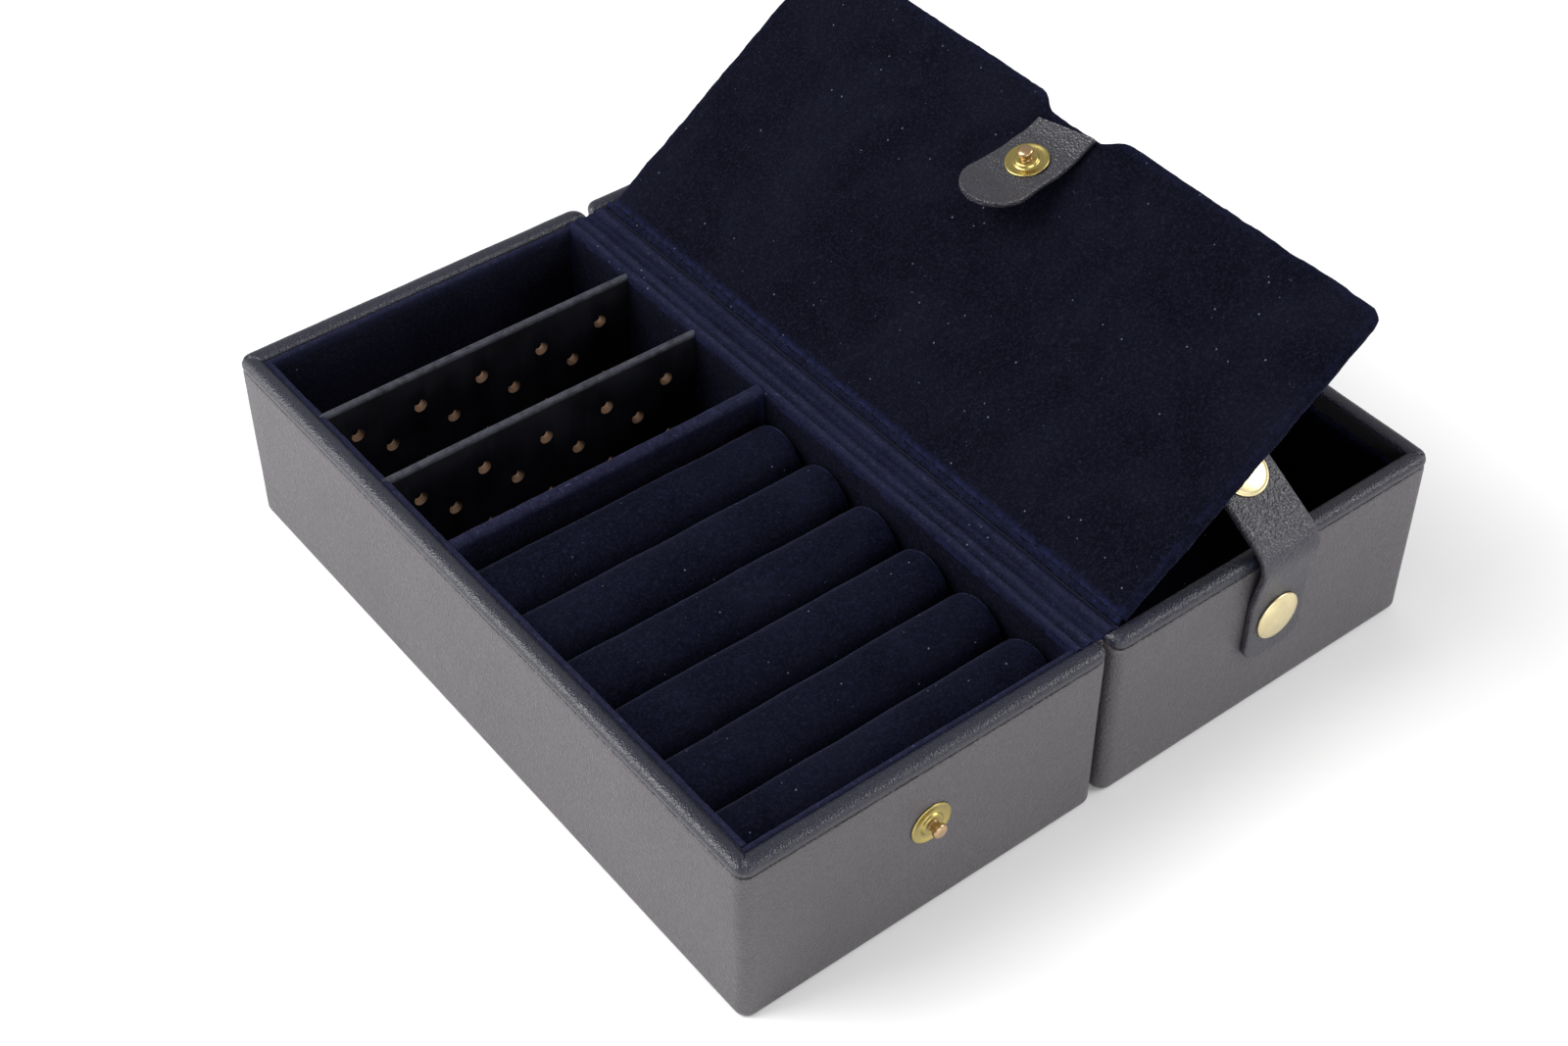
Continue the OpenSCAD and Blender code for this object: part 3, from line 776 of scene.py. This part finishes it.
def strap_ring(half, t, place, edge=0.45, lateral=8):
    """One cross-section of a leather strap; place turns (across, out of the inner face) into a point."""
    edge = min(edge, t / 2, half * 0.9)
    n = lateral + 1
    ring = [(-half + edge + (2 * half - 2 * edge) * i / lateral, 0.0) for i in range(n)]
    ring += [(half - edge + edge * cos(radians(a)), edge + edge * sin(radians(a))) for a in (-60, -30, 0)]
    ring += [(half - edge + edge * cos(radians(a)), t - edge + edge * sin(radians(a))) for a in (0, 30, 60)]
    ring += [(half - edge - (2 * half - 2 * edge) * i / lateral, t) for i in range(n)]
    ring += [(-half + edge - edge * cos(radians(a)), t - edge + edge * sin(radians(a))) for a in (60, 30, 0)]
    ring += [(-half + edge - edge * cos(radians(a)), edge + edge * sin(radians(a))) for a in (0, -30, -60)]
    return [place(w, h) for w, h in ring]


def filleted(points, radii, step=0.6):
    """A polyline in a plane with its corners rounded.

    Returns (point, direction, distance along it) at even spacing, and the whole length."""
    path = [Vector(points[0])]
    for k in range(1, len(points) - 1):
        a, b, c = Vector(points[k - 1]), Vector(points[k]), Vector(points[k + 1])
        into, out = (b - a).normalized(), (c - b).normalized()
        turn = into.angle(out)
        reach = radii[k - 1] * sin(turn / 2) / cos(turn / 2)
        for i in range(9):
            f = i / 8
            path.append((1 - f) ** 2 * (b - into * reach) + 2 * f * (1 - f) * b + f ** 2 * (b + out * reach))
    path.append(Vector(points[-1]))
    out = []
    total = sum((path[i + 1] - path[i]).length for i in range(len(path) - 1))
    wanted = steps(0, total, step)
    gone, k = 0.0, 0
    for d in wanted:
        while k < len(path) - 2 and gone + (path[k + 1] - path[k]).length < d:
            gone += (path[k + 1] - path[k]).length
            k += 1
        leg = path[k + 1] - path[k]
        out.append((path[k] + leg * ((d - gone) / max(leg.length, 1e-9)), leg.normalized(), d))
    return out, total


# The closing strap's tongue at rest: along the leather, and out of its outer face.
TONGUE_ALONG = Vector((0, sin(STRAP_LEAN), cos(STRAP_LEAN)))
TONGUE_OUT = Vector((0, -cos(STRAP_LEAN), sin(STRAP_LEAN)))


def closing_strap():
    """The leather closing strap: riveted low on the wall, standing off at the rim, leaning in over it."""
    base_low, base_high = size_of("strap_base")
    fold, swing = frame_axis("strap_fold"), frame_axis("strap_swing")
    w = (base_high.x - base_low.x) / 2
    x_mid = (base_high.x + base_low.x) / 2
    wall_y = WELL_LOW.y
    crease = (wall_y - fold.y, fold.z)
    lean = Vector((-sin(STRAP_LEAN), cos(STRAP_LEAN)))
    tip = Vector(crease) + lean * TONGUE_L
    stations, total = filleted([(0.0, base_low.z), (0.0, swing.z), crease, tuple(tip)], [10.0, 4.5])
    joint = total - TONGUE_L - 5.15

    def half_width(d):
        tail, end = d, total - d
        if end < w:
            return sqrt(max(0.05, w * w - (w - end) ** 2))
        if tail < 4:
            return w - 4 + sqrt(max(0.05, 16 - (4 - tail) ** 2))
        return w - 0.25 * smooth(tail / 12)

    def ring_at(p, d, along):
        out = Vector((along.y, -along.x))
        sway = 0.2 * noise.noise(Vector((d / 11, 0, 3)))

        def place(a, h):
            cup = 0.10 * (a / w) ** 2
            q = p + out * (h + cup)
            return Vector((x_mid + a + sway, wall_y - q.x, q.y))
        return strap_ring(half_width(d), STRAP_T, place)

    parts = []
    for name, lo, hi in (("closing_strap_leather", 0, joint), ("closing_strap_tongue", joint, total)):
        inside = [s for s in stations if lo < s[2] < hi]
        ends = []
        for d in (max(lo, 0.02), min(hi, total - 0.02)):
            k = min(range(len(stations)), key=lambda n: abs(stations[n][2] - d))
            p, along, at = stations[k]
            ends.append((p + along * (d - at), along, d))
        rings = [ring_at(p, d, along) for p, along, d in [ends[0]] + inside + [ends[1]]]
        parts.append((name, *loft(rings)))
    bend = 1.5
    up = Vector((0, 0, bend))
    piece(*parts[0], M_STRAP, None, "leather", ["strap_base", "strap_riser"],
          fold=("well_tray", "strap_riser", swing - up, swing + up))
    tongue = pierced(piece(*parts[1], M_STRAP), fold + TONGUE_ALONG * SNAP_AT, TONGUE_OUT, 2.0)
    settle(tongue, None, "leather", ["strap_tongue"],
           ("strap_riser", "strap_tongue", fold - up, fold + TONGUE_ALONG * bend))


def pierced(made, at, axis, r):
    """The piece with a round hole through it, about at along axis."""
    cutter = piece("hole_cutter", *lathe([(0, -4.0), (r, -4.0), (r, 4.0), (0, 4.0)], at, axis, 40), M_STRAP)
    cut = made.modifiers.new("hole", "BOOLEAN")
    cut.operation = "DIFFERENCE"
    cut.solver = "EXACT"
    cut.object = cutter
    apply_modifiers(made)
    bpy.data.objects.remove(cutter)
    return made


def frame_axis(joint):
    """Where a joint turns, in millimetres."""
    return Vector(next(j["pos_m"] for j in frame["joints"] if j["name"] == joint)) / MM


# Turned brass, as (radius, height above the leather) from the axis at the back to the axis in front.
CAP = [(0, -0.02), (4.6, -0.02), (4.9, 0.04), (5.0, 0.18), (4.98, 0.36), (4.88, 0.5), (4.74, 0.56),
       (4.62, 0.57), (4.5, 0.66), (4.1, 0.80), (3.4, 0.96), (2.4, 1.10), (1.2, 1.18), (0.5, 1.2), (0, 1.2)]
STUD_FLANGE = [(0, 0.0), (4.1, 0.0), (4.26, 0.06), (4.3, 0.18), (4.24, 0.32), (4.05, 0.38),
               (3.8, 0.35), (3.45, 0.2), (2.9, 0.16), (2.5, 0.2), (2.34, 0.36), (2.26, 0.66),
               (2.1, 0.82), (1.85, 0.86), (1.5, 0.84), (0, 0.82)]
STUD_BALL = [(0, 0.6), (1.32, 0.6), (1.18, 0.8), (1.08, 1.05), (1.05, 1.35), (1.12, 1.6),
             (1.34, 1.85), (1.47, 2.15), (1.5, 2.45), (1.4, 2.72), (1.15, 2.9), (0.75, 2.985),
             (0.3, 3.0), (0, 3.0)]
SOCKET_RIM = [(0, -1.45), (1.95, -1.45), (1.98, -0.1), (4.25, -0.1), (4.4, 0.0), (4.4, 0.7),
              (4.3, 1.1), (4.0, 1.4), (3.5, 1.55), (2.9, 1.6), (2.5, 1.5), (2.2, 1.2), (1.8, 1.1),
              (1.76, 0.9), (1.75, 0.3), (1.72, -1.3), (0, -1.32)]


def turned(name, profile, origin, axis, material, body, stands_for=()):
    """A turned brass piece on a body, looking along axis."""
    points, faces = lathe(profile, origin, axis)
    return piece(name, points, faces, material, body, "brass", stands_for, sharp=50)


def wall_studs():
    """The ball stud on the ring tray's wall, and the rivet cap low on the strap."""
    low, high = size_of("wall_stud")
    at = Vector(((low.x + high.x) / 2, RING_LOW.y, (low.z + high.z) / 2))
    turned("wall_stud_flange", STUD_FLANGE, at, (0, -1, 0), M_AGED, "ring_tray", ["wall_stud"])
    turned("wall_stud_ball", STUD_BALL, at, (0, -1, 0), M_ROSE, "ring_tray")
    low, high = size_of("strap_rivet_cap")
    at = Vector(((low.x + high.x) / 2, low.y + 1.2, (low.z + high.z) / 2))
    turned("strap_rivet_cap_dome", CAP, at, (0, -1, 0), M_BRASS, "well_tray", ["strap_rivet_cap"])


def strap_snap():
    """The cap and socket on the strap's tongue."""
    at = frame_axis("strap_fold") + TONGUE_ALONG * SNAP_AT
    turned("snap_cap_dome", CAP, at + TONGUE_OUT * STRAP_T, TONGUE_OUT, M_BRASS, "strap_tongue", ["snap_cap"])
    turned("snap_socket_ring", SOCKET_RIM, at, -TONGUE_OUT, M_BRASS, "strap_tongue", ["snap_socket"])


closing_strap()
wall_studs()
strap_snap()


def inner_strap():
    """The short strap inside the well that takes the flap's stud, hanging against the wall lining."""
    low, high = size_of("inner_strap")
    t = high.x - low.x
    w = (high.y - low.y) / 2
    mid = (high.y + low.y) / 2
    total = high.z - low.z

    def ring_at(d):
        end = total - d
        half = sqrt(max(0.04, w * w - (w - end) ** 2)) if end < w else w

        def place(a, h):
            return Vector((high.x - h, mid + a, high.z - d))
        return strap_ring(half, t, place, 0.35)

    points, faces = loft([ring_at(d) for d in steps(0.7, total - 0.02, 0.7)])
    piece("inner_strap_leather", points, faces, M_STRAP, "inner_strap", "leather", ["inner_strap"])
    cap_low, cap_high = size_of("inner_snap_cap")
    at = Vector((low.x, mid, (cap_low.z + cap_high.z) / 2))
    turned("inner_snap_cap_dome", CAP, at, (-1, 0, 0), M_BRASS, "inner_strap", ["inner_snap_cap"])


inner_strap()


# ---- flap ------------------------------------------------------------------------------------

def on_flap(s, y, h):
    """A point in the flap's plane: s from the crease, y along it, h above the velvet face."""
    return Vector((CREASE.x + s * cos(FLAP_ANGLE) - h * sin(FLAP_ANGLE), y,
                   CREASE.z + s * sin(FLAP_ANGLE) + h * cos(FLAP_ANGLE)))


FLAP_S0, FLAP_S1, FLAP_HALF, FLAP_T = 0.8, 69.4, 76.0, 3.0
NOTCH_Y, NOTCH_W, NOTCH_D = CREASE.y - 1.0, 24.0, 2.7


def notch(y):
    """How far the finger notch cuts into the free edge at y."""
    d = abs(y - NOTCH_Y)
    if d >= NOTCH_W / 2:
        return 0.0
    if d < NOTCH_W / 4:
        return NOTCH_D
    return NOTCH_D * (1 + cos(pi * (d - NOTCH_W / 4) / (NOTCH_W / 4))) / 2


def flap_face(name, material, top, stands_for):
    """One velvet skin of the flap: a padded sheet whose edge turns over to the flap's middle."""
    mid, depth = -FLAP_T / 2, FLAP_T / 2 * (1 if top else -1)
    corner, turn = 3.0, 1.6
    edge = [0.02, 0.1, 0.25, 0.5, 0.85, 1.3, 1.8, 2.4, 3.1]
    columns = [d - FLAP_HALF for d in edge] + steps(3.9 - FLAP_HALF, FLAP_HALF - 3.9, 1.0)
    columns += [FLAP_HALF - d for d in reversed(edge)]
    rings = []
    for y in columns:
        side = FLAP_HALF - abs(y)
        cut = corner - sqrt(max(0.0, corner ** 2 - (corner - side) ** 2)) if side < corner else 0.0
        end = FLAP_S1 - notch(CREASE.y + y) - cut
        rows = [FLAP_S0 + (end - 3.8 - FLAP_S0) * i / 64 for i in range(65)]
        rows += [end - d for d in reversed(edge)] + [end]
        ring = []
        for s in rows:
            inside = min(side, end - s)
            if side < corner and s > FLAP_S1 - corner:
                inside = corner - hypot(corner - side, s - FLAP_S1 + corner)
            inside = max(0.0, inside)
            rise = sqrt(1 - (1 - min(1.0, inside / turn)) ** 2)
            p = on_flap(s, CREASE.y + y, mid + depth * rise)
            loose = smooth((s - FLAP_S0) / 3)
            fluff = wobble(p, 0.9, 0.12, 4.4) * (1.0 if inside < 1.2 else 0.3)
            wave = wobble(p, 5.0, 0.26, 1.2) * (1 - smooth(inside / 4))
            ring.append(p + (fluff + wave) * loose)
        ring.append(on_flap(FLAP_S0, CREASE.y + y, mid))
        rings.append(ring)
    points, faces = loft(rings)
    return piece(name, points, faces, material, "flap", "velvet", stands_for, sharp=60)


flap_face("flap_velvet_face", M_VELVET, True, ["flap_velvet_front"])
flap_face("flap_velvet_lining", M_VELVET, False, ["flap_velvet_back"])


def flap_crease():
    """The rolled velvet at the flap's crease."""
    low, high = size_of("flap_hinge_velvet")
    rings = []
    for y in steps(low.y, high.y, 1.5):
        ring = []
        for c, s in circle(1.0, 14):
            r = 0.62 + 0.06 * noise.noise(Vector((y, 3 * c, 3 * s)))
            ring.append(Vector((CREASE.x + r * c, y, CREASE.z + r * s)))
        rings.append(ring)
    points, faces = loft(rings)
    return piece("flap_crease_velvet", points, faces, M_VELVET, "hinge_velvet", "velvet",
                 ["flap_hinge_velvet"])


flap_crease()


def tab():
    """The leather tab: sewn down at the flap's edge, then lifting off to a round tip."""
    w, t = 7.2, 1.2
    centre = [(66.3, 0.1), (60.5, 0.8), (54.93, 2.65), (48.6, 5.6), (42.2, 10.2)]
    stations, total = filleted(centre, [20.0, 14.0, 12.0], 0.5)

    def half_width(d):
        end = total - d
        if end < w:
            return sqrt(max(0.04, w * w - (w - end) ** 2))
        return w - 0.5 * smooth((16 - d) / 14) - 0.35 * exp(-((d - 14) / 3.5) ** 2)

    rings = []
    for p, along, d in stations:
        if d > total - 0.02:
            p, d = p - along * 0.02, total - 0.02
        out = Vector((along.y, -along.x))
        half, end = half_width(d), total - d

        def place(a, h, p=p, out=out, d=d, half=half, end=end):
            border = w - hypot(a, w - end) if end < w else half - abs(a)
            pressed = 0.13 * exp(-((border - 1.35) / 0.28) ** 2) if h > t / 2 else 0
            cup = 0.30 * (a / w) ** 2 * smooth((d - 8) / 8) - 0.10 * (a / w) ** 2 * smooth(d / 6)
            slant = 2.6 * (0.5 + a / w / 2) * (1 - smooth(d / 9))
            q = p + out * (h + cup - pressed) + Vector((-slant, 0))
            rumple = 0.07 * noise.noise(Vector((a / 2.6, d / 1.1, 3.0))) if h > t / 2 else 0
            return on_flap(q.x, NOTCH_Y + a, q.y + rumple)
        rings.append(strap_ring(half, t, place, 0.4, 40))
    points, faces = loft(rings)
    hinge = frame_axis("tab_press")
    along = (on_flap(0, 0, 0) - on_flap(1, 0, 0)).normalized()
    return piece("tab_leather", points, faces, M_TAB, None, "leather", ["tab_root", "tab_tongue"],
                 fold=("flap", "tab", hinge - along * 2.0, hinge + along * 2.0))


def tab_studs():
    """The ball stud on the tab."""
    base = on_flap(60.0, NOTCH_Y, 0.8)
    a = FLAP_ANGLE - TAB_ANGLE
    along, out = Vector((cos(a), 0, sin(a))), Vector((-sin(a), 0, cos(a)))
    at = base - along * 5.4 + out * 1.45
    turned("tab_stud_flange", STUD_FLANGE, at, out, M_AGED, "tab", ["tab_stud"])
    turned("tab_stud_ball", STUD_BALL, at, out, M_ROSE, "tab")


tab()
tab_studs()


# ---- CAD nodes that stay ---------------------------------------------------------------------

def finish_nodes():
    """Gives the CAD nodes that still show their own finish."""
    looks = {"board": M_BOARD_SHADE, "base": M_BOARD_SHADE, "washer": M_BRASS, "rivet": M_BRASS,
             "socket": M_BRASS, "tape": M_VELVET_SHADED, "root": M_STRAP}
    for name, node in frame["nodes"].items():
        if node.hide_render:
            continue
        look = next((m for key, m in looks.items() if key in name), M_LEATHER_SHEEN)
        node.data.materials.clear()
        node.data.materials.append(look)


finish_nodes()


# ---- floor, lights and camera ----------------------------------------------------------------

def floor():
    """The plain pale floor."""
    bm = bmesh.new()
    bmesh.ops.create_grid(bm, x_segments=2, y_segments=2, size=3.0)
    mesh = bpy.data.meshes.new("floor")
    bm.to_mesh(mesh)
    bm.free()
    made = bpy.data.objects.new("floor", mesh)
    made.location.z = -0.0002
    s = Shader("pale_floor")
    speck = s.noise(40, 2.0)
    s.set(Base_Color=s.mix(speck, (0.86, 0.86, 0.86), (0.88, 0.88, 0.88)), Roughness=0.9,
          Normal=s.bump(speck, 0.02, 0.001))
    mesh.materials.append(s.material)
    bpy.context.scene.collection.objects.link(made)


def softbox(name, place, aim, size, power):
    """A soft white area light at place, facing aim."""
    light = bpy.data.lights.new(name, "AREA")
    light.shape = "RECTANGLE"
    light.size, light.size_y = size
    light.energy = power
    made = bpy.data.objects.new(name, light)
    made.location = place
    made.rotation_euler = (Vector(aim) - Vector(place)).to_track_quat("-Z", "Y").to_euler()
    bpy.context.scene.collection.objects.link(made)


def daylight(strength):
    """An even white surround."""
    world = bpy.data.worlds.new("studio")
    world.use_nodes = True
    background = world.node_tree.nodes["Background"]
    background.inputs["Color"].default_value = (1, 1, 1, 1)
    background.inputs["Strength"].default_value = strength
    bpy.context.scene.world = world


def camera():
    """The photograph's viewpoint: 38 degrees round to the left, 43 above the floor."""
    azimuth, elevation, distance = radians(37.94), radians(43.41), 0.4503
    target = Vector((-0.0256, -0.0196, 0.039))
    ahead = Vector((sin(azimuth) * cos(elevation), cos(azimuth) * cos(elevation), -sin(elevation)))
    data = bpy.data.cameras.new("camera")
    data.lens = 58.0
    data.sensor_width = 36.0
    data.clip_start = 0.01
    made = bpy.data.objects.new("camera", data)
    made.location = target - ahead * distance
    made.rotation_euler = ahead.to_track_quat("-Z", "Y").to_euler()
    bpy.context.scene.collection.objects.link(made)
    bpy.context.scene.camera = made


floor()
softbox("key", (-0.55, 0.35, 0.75), (0, 0, 0.02), (0.7, 0.5), 9.0)
softbox("fill", (0.75, -0.5, 0.7), (0, 0, 0.02), (0.6, 0.6), 6.0)
softbox("left", (-0.72, 0.56, 0.30), (0, 0.08, 0.02), (0.5, 0.4), 3.8)
softbox("front", (-0.2, -0.95, 0.35), (0, 0, 0.02), (0.8, 0.4), 3.5)
daylight(0.5)
bpy.context.scene.view_settings.view_transform = "Standard"
camera()
